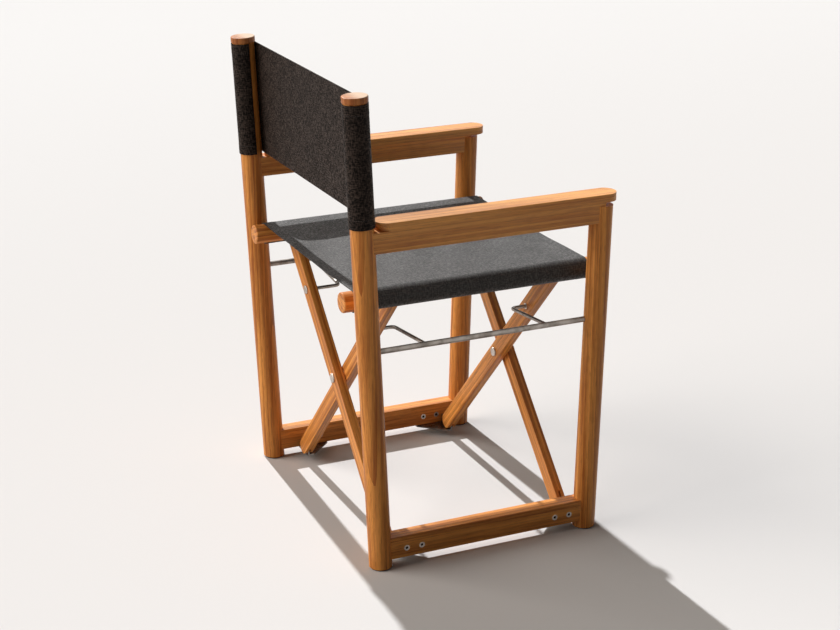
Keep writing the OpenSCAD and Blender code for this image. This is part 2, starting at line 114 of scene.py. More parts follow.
def finished(
    made: bpy.types.Object, smooth: float, material: bpy.types.Material
) -> bpy.types.Object:
    """Applies a piece's modifiers, smooths it and gives it a material.

    Args:
        made: The piece.
        smooth: Edges sharper than this stay sharp.
        material: Its material.

    Returns:
        The same piece.
    """
    bpy.context.view_layer.update()
    depsgraph = bpy.context.evaluated_depsgraph_get()
    solid = bpy.data.meshes.new_from_object(made.evaluated_get(depsgraph))
    rough, name = made.data, made.data.name
    made.modifiers.clear()
    made.vertex_groups.clear()
    made.data = solid
    bpy.data.meshes.remove(rough)
    solid.name = name
    solid.shade_smooth()
    solid.set_sharp_from_angle(angle=smooth)
    solid.materials.clear()
    solid.materials.append(material)
    LOG.info("%s: %s, %d faces", made.name, material.name, len(solid.polygons))
    return made


@dataclass(frozen=True)
class Wiring:
    """Adds and joins the nodes of one node tree."""

    tree: bpy.types.NodeTree

    # A Mix node has sockets for every kind of data. These are the numbers of its share, its two
    # colours and their mix.
    MIX_INPUTS: ClassVar[tuple[int, int, int]] = (0, 6, 7)
    MIX_OUTPUT: ClassVar[int] = 2

    def feed(self, node: bpy.types.Node, inputs: Inputs) -> None:
        """Sets or links a node's inputs.

        Args:
            node: The node.
            inputs: Values or output sockets for its inputs, by name or number.
        """
        for key, value in inputs.items():
            if isinstance(value, bpy.types.NodeSocket):
                self.tree.links.new(value, node.inputs[key])
            else:
                node.inputs[key].default_value = value

    def add(self, kind: str, inputs: Inputs | None = None, **settings: object) -> bpy.types.Node:
        """Adds a node.

        Args:
            kind: The node's type name.
            inputs: Values or output sockets for its inputs, by name or number.
            **settings: Properties of the node itself.

        Returns:
            The new node.
        """
        node = self.tree.nodes.new(kind)
        for name, value in settings.items():
            setattr(node, name, value)
        self.feed(node, inputs or {})
        return node

    def point(self) -> bpy.types.NodeSocket:
        """Returns the point on the piece, in metres."""
        return self.add("ShaderNodeTexCoord").outputs["Object"]

    def part(self, vector: bpy.types.NodeSocket, axis: str) -> bpy.types.NodeSocket:
        """Returns a vector's part along X, Y or Z."""
        return self.add("ShaderNodeSeparateXYZ", {0: vector}).outputs[axis]

    def maths(self, how: str, first: object, second: object = 0.0) -> bpy.types.NodeSocket:
        """Returns the output of a Math node on one or two values or sockets."""
        return self.add("ShaderNodeMath", {0: first, 1: second}, operation=how).outputs[0]

    def spread(self, value: object, span: Span = WHOLE, to: Span = WHOLE) -> bpy.types.NodeSocket:
        """Returns a value eased from one span to another and held inside it."""
        inputs: Inputs = dict(enumerate((value, *span, *to)))
        return self.add("ShaderNodeMapRange", inputs, interpolation_type="SMOOTHSTEP").outputs[0]

    def mix(self, share: object, first: object, second: object) -> bpy.types.NodeSocket:
        """Mixes two colours.

        Args:
            share: How much of the second colour shows.
            first: The first colour or socket.
            second: The second colour or socket.

        Returns:
            The mixed colour's socket.
        """
        values = [
            value if isinstance(value, (float, bpy.types.NodeSocket)) else (*value, 1.0)
            for value in (share, first, second)
        ]
        node = self.add("ShaderNodeMix", dict(zip(self.MIX_INPUTS, values)), data_type="RGBA")
        return node.outputs[self.MIX_OUTPUT]

    def noise(self, vector: object, scale: float, detail: float = 2.0) -> bpy.types.NodeSocket:
        """Returns the value of a Noise Texture at a vector."""
        inputs: Inputs = {"Vector": vector, "Scale": scale, "Detail": detail}
        return self.add("ShaderNodeTexNoise", inputs).outputs[0]

    def stretch(self, vector: object, scale: Triple) -> bpy.types.NodeSocket:
        """Returns a vector scaled apart along its three axes."""
        return self.add("ShaderNodeMapping", {"Vector": vector, "Scale": scale}).outputs[0]


@dataclass(frozen=True)
class SharedEffect:
    """A node group that several materials use, built once.

    Attributes:
        name: The group's name.
        gives: The names of its outputs, which are values that change over the surface.
    """

    name: str = "effect"
    gives: tuple[str, ...] = ()

    def build(self, wires: Wiring, vector: bpy.types.NodeSocket) -> dict[str, bpy.types.NodeSocket]:
        """Builds what the group puts out; each effect has its own."""
        raise NotImplementedError

    def group(self) -> bpy.types.NodeTree:
        """Makes the node group on first use.

        Returns:
            The node group.
        """
        found = bpy.data.node_groups.get(self.name)
        if found:
            return found
        tree = bpy.data.node_groups.new(self.name, "ShaderNodeTree")
        tree.interface.new_socket(name="Vector", in_out="INPUT", socket_type="NodeSocketVector")
        for name in self.gives:
            tree.interface.new_socket(name=name, in_out="OUTPUT", socket_type="NodeSocketFloat")
        wires = Wiring(tree)
        start = wires.add("NodeGroupInput")
        wires.add("NodeGroupOutput", dict(self.build(wires, start.outputs["Vector"])))
        return tree

    def at(self, wires: Wiring, vector: bpy.types.NodeSocket) -> bpy.types.bpy_prop_collection:
        """Places the group in a material and returns its outputs, by name."""
        return wires.add("ShaderNodeGroup", {"Vector": vector}, node_tree=self.group()).outputs


@dataclass(frozen=True)
class TimberGrain(SharedEffect):
    """Growth rings, broad stripes, fibres and pores of wood whose fibres run along Z.

    Attributes:
        run: Scale along each axis, low where the fibres run.
        drift: How far the rings and stripes wander, in metres.
        ring_bend: How much the rings wave.
        ring_share: The rings' share of the tone, beside those of the stripes and the fibres.
        tone_span: The sum of the shares that turns the wood from dark to pale.
        roughness: From between the fibres to their crests.
    """

    name: str = "timber_grain"
    gives: tuple[str, ...] = ("Tone", "Pores", "Roughness", "Height")
    run: Triple = (1.0, 1.0, 0.03)
    drift_scale: float = 12.0
    drift: float = 0.016
    ring_scale: float = 36.0
    ring_bend: float = 1.6
    ring_detail: float = 2.0
    ring_detail_scale: float = 0.8
    ring_share: float = 0.34
    stripe_scale: float = 95.0
    stripe_detail: float = 3.0
    stripe_span: Span = (0.3, 0.7)
    stripe_share: float = 0.44
    fibre_scale: float = 620.0
    fibre_span: Span = (0.25, 0.75)
    fibre_share: float = 0.22
    pore_scale: float = 1500.0
    pore_span: Span = (0.62, 0.7)
    tone_span: Span = (0.06, 0.92)
    roughness: Span = (0.34, 0.5)

    def bent(self, wires: Wiring, vector: bpy.types.NodeSocket) -> bpy.types.NodeSocket:
        """Lets a place wander, so that no ring or stripe is straight.

        Args:
            wires: The group's wiring.
            vector: The place.

        Returns:
            The place moved by a slow noise.
        """
        wander = wires.add("ShaderNodeTexNoise", {"Vector": vector, "Scale": self.drift_scale})
        scaled: Inputs = {0: wander.outputs["Color"], "Scale": self.drift}
        shift = wires.add("ShaderNodeVectorMath", scaled, operation="SCALE").outputs[0]
        return wires.add("ShaderNodeVectorMath", {0: vector, 1: shift}, operation="ADD").outputs[0]

    def build(self, wires: Wiring, vector: bpy.types.NodeSocket) -> dict[str, bpy.types.NodeSocket]:
        """Builds the grain.

        Args:
            wires: The group's wiring.
            vector: Place on the wood, with its fibres along Z.

        Returns:
            The group's outputs by name.
        """
        long = wires.stretch(vector, self.run)
        bent = self.bent(wires, long)
        waves: Inputs = {
            "Vector": bent,
            "Scale": self.ring_scale,
            "Distortion": self.ring_bend,
            "Detail": self.ring_detail,
            "Detail Scale": self.ring_detail_scale,
        }
        rings = wires.add(
            "ShaderNodeTexWave", waves, wave_type="RINGS", rings_direction="Z", wave_profile="SAW"
        ).outputs["Fac"]
        broad = wires.noise(bent, self.stripe_scale, self.stripe_detail)
        stripes = wires.spread(broad, self.stripe_span)
        fibres = wires.spread(wires.noise(long, self.fibre_scale), self.fibre_span)
        pores = wires.spread(wires.noise(long, self.pore_scale, detail=0.0), self.pore_span)
        shares = (
            (rings, self.ring_share), (stripes, self.stripe_share), (fibres, self.fibre_share),
        )
        weighed = [wires.maths("MULTIPLY", part, share) for part, share in shares]
        tone = wires.maths("ADD", wires.maths("ADD", weighed[0], weighed[1]), weighed[2])
        return {
            "Tone": wires.spread(tone, self.tone_span),
            "Pores": pores,
            "Roughness": wires.spread(fibres, to=self.roughness),
            "Height": wires.maths("SUBTRACT", fibres, pores),
        }


@dataclass(frozen=True)
class HeatherWeave(SharedEffect):
    """Plain weave with uneven two-tone yarns, on flat cloth coordinates in metres.

    Attributes:
        slub_run: Scale along the yarn, low so that the slubs are long.
        cloud_share: How much the slow clouds add to the flecks.
        fleck_span: The tone of the yarns that turns them from dark to light.
        weave_share: How much the crossings stand up, beside the yarns' own unevenness.
    """

    name: str = "heather_weave"
    gives: tuple[str, ...] = ("Flecks", "Height")
    thread_scale: float = 240.0
    slub_scale: float = 470.0
    slub_run: float = 0.3
    cloud_scale: float = 34.0
    cloud_detail: float = 3.0
    cloud_share: float = 0.16
    fleck_span: Span = (0.47, 0.74)
    weave_share: float = 0.6

    def build(self, wires: Wiring, vector: bpy.types.NodeSocket) -> dict[str, bpy.types.NodeSocket]:
        """Builds the weave.

        Args:
            wires: The group's wiring.
            vector: Place on the flat cloth, in metres.

        Returns:
            The group's outputs by name.
        """
        threads: Inputs = {"Vector": vector, "Scale": self.thread_scale}
        bands = [
            wires.add("ShaderNodeTexWave", threads, bands_direction=way).outputs["Fac"]
            for way in ("X", "Y")
        ]
        over = wires.maths("MULTIPLY", bands[0], bands[1])
        weft, warp = (
            wires.noise(wires.stretch(vector, run), self.slub_scale)
            for run in ((self.slub_run, 1.0, 1.0), (1.0, self.slub_run, 1.0))
        )
        yarn = wires.maths("MULTIPLY", wires.maths("ADD", weft, warp), 0.5)
        cloud = wires.noise(vector, self.cloud_scale, self.cloud_detail)
        tone = wires.maths("ADD", yarn, wires.maths("MULTIPLY", cloud, self.cloud_share))
        return {
            "Flecks": wires.spread(tone, self.fleck_span),
            "Height": wires.maths("ADD", wires.maths("MULTIPLY", over, self.weave_share), yarn),
        }


@dataclass(frozen=True)
class FineBrushing(SharedEffect):
    """Hairline scratches along Y and cloudy wear, for metal and moulded plastic."""

    name: str = "fine_brushing"
    gives: tuple[str, ...] = ("Hairlines", "Wear")
    run: Triple = (1.0, 0.03, 1.0)
    line_scale: float = 2600.0
    wear_scale: float = 60.0
    wear_detail: float = 4.0
    wear_span: Span = (0.35, 0.7)

    def build(self, wires: Wiring, vector: bpy.types.NodeSocket) -> dict[str, bpy.types.NodeSocket]:
        """Builds the scratches.

        Args:
            wires: The group's wiring.
            vector: Place on the piece, in metres.

        Returns:
            The group's outputs by name.
        """
        lines = wires.noise(wires.stretch(vector, self.run), self.line_scale)
        wear = wires.spread(wires.noise(vector, self.wear_scale, self.wear_detail), self.wear_span)
        return {"Hairlines": lines, "Wear": wear}


class Grain(Enum):
    """Which way the fibres of a wooden piece run, as degrees about X and Y that bring them to Z."""

    UPRIGHT = (0.0, 0.0)
    FORE_AFT = (90.0, 0.0)
    OUTER_LEG = (0.0, -LEG_LEAN)
    INNER_LEG = (0.0, LEG_LEAN)

    def turn(self) -> Triple:
        """Returns the turn as Euler angles in radians."""
        about_x, about_y = self.value
        return (math.radians(about_x), math.radians(about_y), 0.0)


@dataclass(frozen=True)
class Finish:
    """A material of the chair.

    Attributes:
        name: The material's name.
        bump: How strongly the fine relief shows.
        relief: Its height.
    """

    name: str = "finish"
    bump: float = 0.3
    relief: float = 0.2 * MM

    def dress(self, wires: Wiring, shader: bpy.types.Node) -> None:
        """Adds the finish's own nodes; each finish has its own."""
        raise NotImplementedError

    def normal(self, wires: Wiring, height: bpy.types.NodeSocket) -> bpy.types.NodeSocket:
        """Returns the normal of a surface with this height."""
        inputs: Inputs = {"Strength": self.bump, "Distance": self.relief, "Height": height}
        return wires.add("ShaderNodeBump", inputs).outputs["Normal"]

    def material(self) -> bpy.types.Material:
        """Makes the material on first use.

        Returns:
            The material.
        """
        found = bpy.data.materials.get(self.name)
        if found:
            return found
        material = bpy.data.materials.new(self.name)
        material.use_nodes = True
        self.dress(Wiring(material.node_tree), material.node_tree.nodes["Principled BSDF"])
        return material


@dataclass(frozen=True)
class OiledTeak(Finish):
    """Oiled teak with its fibres along one direction."""

    grain: Grain = Grain.UPRIGHT
    pale: Colour = (0.98, 0.42, 0.1)
    dark: Colour = (0.42, 0.12, 0.017)
    pore: Colour = (0.17, 0.055, 0.013)
    pore_share: float = 0.35
    gloss: float = 0.25

    def dress(self, wires: Wiring, shader: bpy.types.Node) -> None:
        """Adds grain colours, gloss and relief.

        Args:
            wires: The material's wiring.
            shader: Its Principled shader.
        """
        point = wires.point()
        turned: Inputs = {"Vector": point, "Rotation": self.grain.turn()}
        grain = TimberGrain().at(wires, wires.add("ShaderNodeMapping", turned).outputs[0])
        wood = wires.mix(grain["Tone"], self.dark, self.pale)
        specks = wires.maths("MULTIPLY", grain["Pores"], self.pore_share)
        wires.feed(shader, {
            # The turned caps add their painted glare on top here.
            "Base Color": self.with_painted_glare(wires, point, wires.mix(specks, wood, self.pore)),
            "Roughness": grain["Roughness"],
            "Specular IOR Level": self.gloss,
            "Normal": self.normal(wires, grain["Height"]),
        })

    def with_painted_glare(
        self, wires: Wiring, point: bpy.types.NodeSocket, colour: bpy.types.NodeSocket
    ) -> bpy.types.NodeSocket:
        """Returns the colour as it is; only the turned caps add a painted glare on top."""
        return colour


@dataclass(frozen=True)
class PaintedLitTeak(OiledTeak):
    """The arms' teak, painted paler than the other teak: painted light that stands in for the
    strong light on the arms' tops.
    """

    # Paler colours as painted light for the lit arm tops.
    pale: Colour = (1.0, 0.48, 0.13)
    dark: Colour = (0.52, 0.165, 0.03)
    gloss: float = 0.4


@dataclass(frozen=True)
class TurnedCap(OiledTeak):
    """The redder wood of the turned caps, with a painted glare on top: a pale patch that stands in
    for the lamp's highlight.

    Attributes:
        painted_glare: The colour of the painted glare on top.
        painted_glare_share: How much of it shows on the very top.
        painted_glare_heights: Heights between which it comes in.
    """

    name: str = "teak_caps"
    pale: Colour = (0.62, 0.235, 0.07)
    dark: Colour = (0.3, 0.085, 0.018)
    # Painted glare: a pale colour on the caps' tops that stands in for the lamp's highlight.
    painted_glare: Colour = (0.74, 0.56, 0.4)
    painted_glare_share: float = 0.85
    painted_glare_heights: Span = (828.4 * MM, 829.6 * MM)

    def with_painted_glare(
        self, wires: Wiring, point: bpy.types.NodeSocket, colour: bpy.types.NodeSocket
    ) -> bpy.types.NodeSocket:
        """Returns the wood's colour, with a painted glare on the cap's top."""
        # Mix in the painted glare near the top of the cap.
        share = wires.spread(wires.part(point, "Z"), self.painted_glare_heights, (0.0, self.painted_glare_share))
        return wires.mix(share, colour, self.painted_glare)


@dataclass(frozen=True)
class CharcoalCloth(Finish):
    """Woven charcoal cloth with lighter flecks."""

    name: str = "charcoal_cloth"
    bump: float = 0.9
    relief: float = 0.5 * MM
    dark: Colour = (0.004, 0.003, 0.0024)
    light: Colour = (0.05, 0.045, 0.041)
    roughness: Span = (0.62, 0.38)
    gloss: float = 0.28

    def dress(self, wires: Wiring, shader: bpy.types.Node) -> None:
        """Adds the weave's colours, gloss and relief.

        Args:
            wires: The material's wiring.
            shader: Its Principled shader.
        """
        weave = HeatherWeave().at(wires, wires.add("ShaderNodeUVMap", uv_map=FLAT_MAP).outputs[0])
        wires.feed(shader, {
            "Base Color": wires.mix(weave["Flecks"], self.dark, self.light),
            "Roughness": wires.spread(weave["Flecks"], to=self.roughness),
            "Specular IOR Level": self.gloss,
            "Normal": self.normal(wires, weave["Height"]),
        })


@dataclass(frozen=True)
class SlingCloth(CharcoalCloth):
    """The browner and duller cloth of the back."""

    name: str = "sling_cloth"
    relief: float = 0.3 * MM
    light: Colour = (0.072, 0.053, 0.045)
    gloss: float = 0.045


@dataclass(frozen=True)
class Thread(Finish):
    """Twisted sewing thread."""

    name: str = "sewing_thread"
    bump: float = 0.4
    colour: Colour = (0.03, 0.027, 0.027)
    worn: Colour = (0.07, 0.064, 0.062)
    roughness: float = 0.7
    twist_scale: float = 1800.0

    def dress(self, wires: Wiring, shader: bpy.types.Node) -> None:
        """Adds the thread's twist.

        Args:
            wires: The material's wiring.
            shader: Its Principled shader.
        """
        twist = wires.noise(wires.point(), self.twist_scale)
        wires.feed(shader, {
            "Base Color": wires.mix(twist, self.colour, self.worn),
            "Roughness": self.roughness,
            "Normal": self.normal(wires, twist),
        })


@dataclass(frozen=True)
class BrushedSteel(Finish):
    """Brushed stainless steel.

    Attributes:
        recess_from: Distance from the chair's middle to that of a bolt whose sockets get painted
            shade.
        recess_span: Distances from there between which a socket ends and its head begins.
        socket_shade: The painted shade in the sockets.
    """

    name: str = "brushed_steel"
    bump: float = 0.12
    relief: float = 0.05 * MM
    bright: Colour = (0.62, 0.57, 0.52)
    dull: Colour = (0.42, 0.385, 0.35)
    line_span: Span = (0.3, 0.7)
    roughness: Span = (0.3, 0.5)
    recess_from: float | None = None
    recess_span: Span = (12.9 * MM, 14.1 * MM)
    socket_shade: Colour = (0.012, 0.01, 0.009)

    def dress(self, wires: Wiring, shader: bpy.types.Node) -> None:
        """Adds hairlines, cloudy wear and painted shade in the bolts' sockets.

        Args:
            wires: The material's wiring.
            shader: Its Principled shader.
        """
        point = wires.point()
        brushing = FineBrushing().at(wires, point)
        metal = wires.mix(brushing["Wear"], self.bright, self.dull)
        # Painted shade: the bolts' sockets are darkened as if in shadow.
        if self.recess_from is not None:
            metal = wires.mix(self.socket_shade_mask(wires, point), self.socket_shade, metal)
        wires.feed(shader, {
            "Base Color": metal,
            "Metallic": 1.0,
            "Roughness": wires.spread(brushing["Hairlines"], self.line_span, self.roughness),
            "Normal": self.normal(wires, brushing["Hairlines"]),
        })

    def socket_shade_mask(self, wires: Wiring, point: bpy.types.NodeSocket) -> bpy.types.NodeSocket:
        """Tells the bolts' sockets, which get painted shade, from their heads.

        Args:
            wires: The material's wiring.
            point: The point on the bolt.

        Returns:
            0 in the sockets and 1 on the heads.
        """
        from_chair = wires.maths("ABSOLUTE", wires.part(point, "X"))
        from_bolt = wires.maths("ABSOLUTE", wires.maths("SUBTRACT", from_chair, self.recess_from))
        return wires.spread(from_bolt, self.recess_span)


@dataclass(frozen=True)
class LinkSteel(BrushedSteel):
    """Drawn steel of the links, darker than the heads."""

    name: str = "link_steel"
    bright: Colour = (0.36, 0.325, 0.29)
    dull: Colour = (0.19, 0.165, 0.145)


@dataclass(frozen=True)
class BracketSteel(BrushedSteel):
    """Darker steel of the bent brackets."""

    name: str = "bracket_steel"
    bright: Colour = (0.26, 0.235, 0.21)
    dull: Colour = (0.12, 0.105, 0.095)
    roughness: Span = (0.2, 0.36)


@dataclass(frozen=True)
class MouldedBlack(Finish):
    """Matt black moulded plastic."""

    name: str = "moulded_black"
    bump: float = 0.25
    relief: float = 0.1 * MM
    fresh: Colour = (0.016, 0.016, 0.017)
    scuffed: Colour = (0.05, 0.048, 0.046)
    roughness: Span = (0.45, 0.65)
    skin_scale: float = 1400.0

    def dress(self, wires: Wiring, shader: bpy.types.Node) -> None:
        """Adds a spark-eroded skin and light scuffs.

        Args:
            wires: The material's wiring.
            shader: Its Principled shader.
        """
        point = wires.point()
        wear = FineBrushing().at(wires, point)["Wear"]
        wires.feed(shader, {
            "Base Color": wires.mix(wear, self.fresh, self.scuffed),
            "Roughness": wires.spread(wear, to=self.roughness),
            "Normal": self.normal(wires, wires.noise(point, self.skin_scale)),
        })


@dataclass(frozen=True)
class PhotoCamera:
    """The camera at the photograph's viewing angle.

    Attributes:
        place: Where it stands, in metres.
        yaw: The way it looks, from X towards Y.
        down: How far it looks down.
        roll: How far it leans.
        lens: Focal length in millimetres.
        sensor: Width of the sensor in millimetres.
    """

    place: Vector = Vector((-2.9918, 1.34996, 1.5057))
    yaw: float = math.radians(-24.315)
    down: float = math.radians(19.462)
    roll: float = math.radians(-0.168)
    lens: float = 82.17
    sensor: float = 36.0

    def make(self) -> bpy.types.Object:
        """Adds the camera and makes it the scene's own.

        Returns:
            The camera's object.
        """
        ahead = Vector((
            math.cos(self.down) * math.cos(self.yaw),
            math.cos(self.down) * math.sin(self.yaw),
            -math.sin(self.down),
        ))
        level = ahead.cross(UP).normalized()
        upward = level.cross(ahead)
        right = math.cos(self.roll) * level + math.sin(self.roll) * upward
        top = math.cos(self.roll) * upward - math.sin(self.roll) * level
        data = bpy.data.cameras.new("photo_camera")
        data.lens, data.sensor_width = self.lens, self.sensor
        camera = bpy.data.objects.new("photo_camera", data)
        bpy.context.scene.collection.objects.link(camera)
        camera.matrix_world = Matrix.Translation(self.place) @ axes(right, top, -ahead)
        bpy.context.scene.camera = camera
        return camera


@dataclass(frozen=True)
class Studio:
    """Pale floor, one hard lamp from the sitter's left and soft light from behind.

    Attributes:
        sun_way: The direction in which the hard lamp shines.
        sun_width: The angle that it fills in the sky.
        soft_way: The direction in which the soft lamp shines.
        fill: Strength of the even light from all round.
        backdrop: Brightness of the background, which only the camera, gloss and glass see.
        floor_near: The floor's colour near the camera, as they see it.
        floor_far: Its colour behind the chair, as they see it.
        floor_unseen: Its colour for light that bounces.
        far_span: Distances along X between which it gets whiter.
    """

    sun_way: Vector = Vector((-0.75, 0.007, -0.618))
    sun_power: float = 4.0
    sun_width: float = math.radians(0.9)
    soft_way: Vector = Vector((-0.29, -0.9, -0.48))
    soft_power: float = 2.5
    soft_width: float = math.radians(55.0)
    soft_tint: Colour = (1.0, 0.925, 0.85)
    fill: float = 0.075
    fill_tint: Colour = (1.0, 0.94, 0.88)
    backdrop: float = 0.88
    backdrop_tint: Colour = (1.0, 0.985, 0.97)
    floor_radius: float = 14.0
    floor_edges: int = 96
    floor_near: Colour = (0.72, 0.712, 0.71)
    floor_far: Colour = (0.77, 0.772, 0.775)
    floor_unseen: Colour = (0.31, 0.29, 0.265)
    floor_roughness: float = 0.8
    far_span: Span = (0.3, 5.0)

    @staticmethod
    def lamp(
        name: str, power: float, width: float, way: Vector, tint: Colour = (1.0, 1.0, 1.0)
    ) -> None:
        """Adds a distant lamp.

        Args:
            name: The lamp's name.
            power: Its strength.
            width: The angle that it fills in the sky.
            way: The direction in which it shines.
            tint: Its colour.
        """
        data = bpy.data.lights.new(name, "SUN")
        data.energy, data.angle, data.color = power, width, tint
        lamp = bpy.data.objects.new(name, data)
        bpy.context.scene.collection.objects.link(lamp)
        lamp.rotation_mode = "QUATERNION"
        lamp.rotation_quaternion = way.to_track_quat("-Z", "Y")

    @staticmethod
    def seen(wires: Wiring) -> bpy.types.NodeSocket:
        """Tells what is seen from what only lights the chair.

        Args:
            wires: The wiring of a material or of the world.

        Returns:
            1 for what the camera sees, also in gloss or through glass, and 0 for bounced light.
        """
        rays = wires.add("ShaderNodeLightPath").outputs
        direct = wires.maths("MAXIMUM", rays["Is Camera Ray"], rays["Is Glossy Ray"])
        return wires.maths("MAXIMUM", direct, rays["Is Transmission Ray"])

    def world(self) -> None:
        """Gives an even fill light, and a pale background to the camera and to reflections."""
        world = bpy.data.worlds.new("studio")
        world.use_nodes = True
        bpy.context.scene.world = world
        wires = Wiring(world.node_tree)
        seen = self.seen(wires)
        wires.feed(world.node_tree.nodes["Background"], {
            "Color": wires.mix(seen, self.fill_tint, self.backdrop_tint),
            "Strength": wires.spread(seen, to=(self.fill, self.backdrop)),
        })

    def floor(self) -> None:
        """Adds the floor, whiter away from the camera."""
        shape = bmesh.new()
        bmesh.ops.create_circle(
            shape, cap_ends=True, segments=self.floor_edges, radius=self.floor_radius
        )
        floor = placed(shape, "studio_floor")
        material = bpy.data.materials.new("pale_floor")
        material.use_nodes = True
        wires = Wiring(material.node_tree)
        away = wires.spread(wires.part(wires.point(), "X"), self.far_span)
        shown = wires.mix(away, self.floor_near, self.floor_far)
        wires.feed(material.node_tree.nodes["Principled BSDF"], {
            "Base Color": wires.mix(self.seen(wires), self.floor_unseen, shown),
            "Roughness": self.floor_roughness,
            "Specular IOR Level": 0.0,
        })
        floor.data.materials.append(material)

    def make(self) -> None:
        """Sets up the world, the lamps and the floor."""
        bpy.context.scene.view_settings.view_transform = "Standard"
        self.world()
        self.lamp("key_lamp", self.sun_power, self.sun_width, self.sun_way)
        self.lamp("soft_lamp", self.soft_power, self.soft_width, self.soft_way, self.soft_tint)
        self.floor()


@dataclass(frozen=True)
class Stitch:
    """One visible stitch and its place in a row."""

    length: float = 2.6 * MM
    width: float = 0.7 * MM
    height: float = 0.5 * MM
    pitch: float = 3.6 * MM


@dataclass(frozen=True)
class Pull:
    """One of the waves that tension leaves in a panel.

    Attributes:
        share: Its share of the ripple.
        along: Radians in each metre along the bars.
        slant: Radians from the middle to a bar.
    """

    share: float
    along: float
    slant: float


@dataclass(frozen=True)
class Notch:
    """A cut for a leg in the wrapped edge of a sheet.

    Attributes:
        side: The edge that it is in, 1 or -1 across.
        start: How far from the sheet's middle it starts.
        middle: Its place along the bars.
        reach: Half its width.
    """

    side: int
    start: float
    middle: float
    reach: float

    def holds(self, place: Vector) -> bool:
        """Tells whether a place on the flat sheet lies in the cut."""
        return self.side * place.x > self.start and abs(place.y - self.middle) < self.reach


